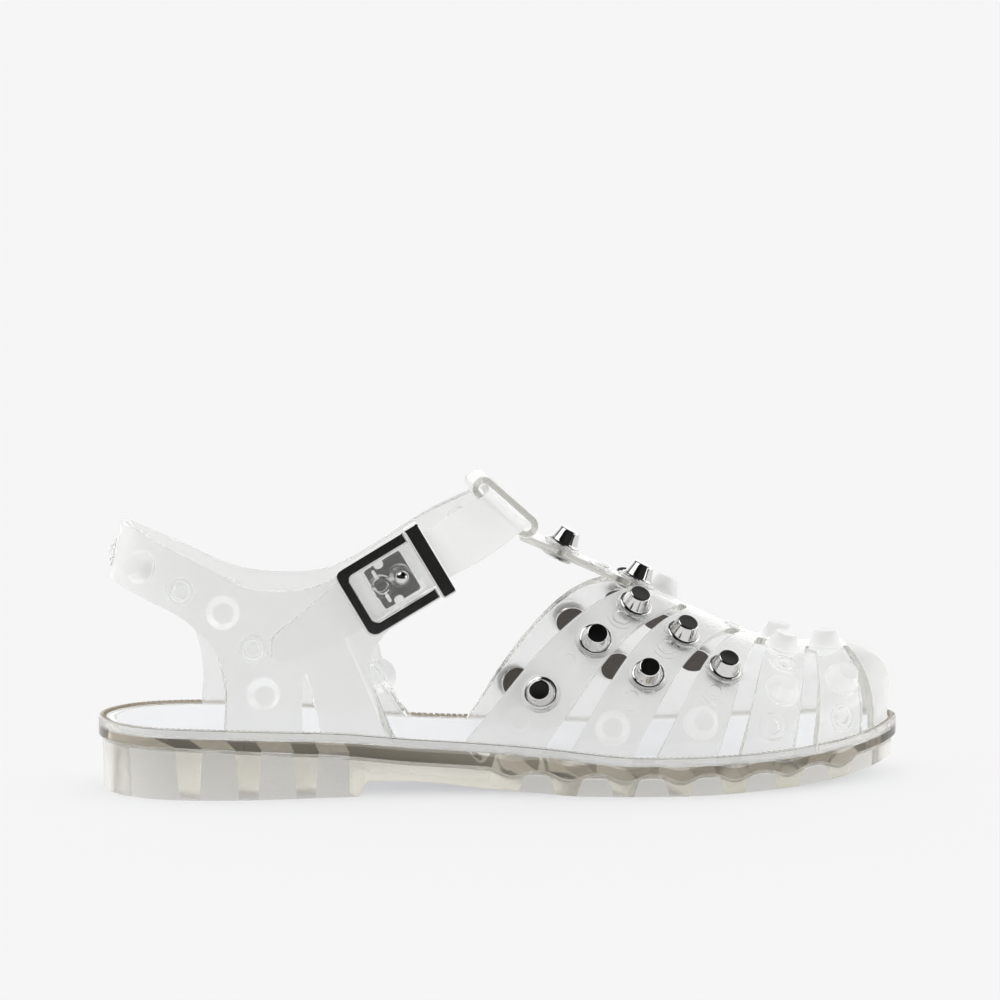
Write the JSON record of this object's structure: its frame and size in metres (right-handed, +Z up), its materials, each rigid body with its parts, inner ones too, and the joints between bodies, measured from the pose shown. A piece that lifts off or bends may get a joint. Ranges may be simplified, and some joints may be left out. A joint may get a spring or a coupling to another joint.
{
  "type": "jelly sandal",
  "caption": "Right jelly sandal with a clear moulded cage upper, an ankle strap with a chrome buckle, chrome and clear studs, and a clear tinted ribbed sole.",
  "frame": {"origin": "centre of the bounding box, on the floor under the sole", "axes": "+X to the toe along the shoe's length, -Y to the outer (buckle) side, +Z up from the floor"},
  "size_m": [0.25, 0.0892, 0.0962],
  "materials": {
    "sole": "clear flexible PVC with a faint beige tint, glossy, the side below the step slightly matt",
    "insole": "white coated sheet, satin",
    "upper": "colourless flexible PVC, glossy outside and frosted inside",
    "metal": "polished chrome plate"
  },
  "bodies": {
    "root": {"sole": "sole", "insole": "insole", "upper": "upper", "buckle_frame": "metal", "buckle_cross_bar": "metal", "buckle_plate": "metal", "buckle_pin": "metal", "stud_1": "metal", "stud_2": "metal", "stud_3": "metal", "stud_4": "metal", "stud_5": "metal", "stud_6": "metal", "stud_7": "metal", "stud_8": "metal", "stud_9": "metal", "stud_10": "metal", "stud_11": "metal", "stud_12": "metal", "stud_13": "metal", "stud_14": "metal"}
  },
  "joints": []
}
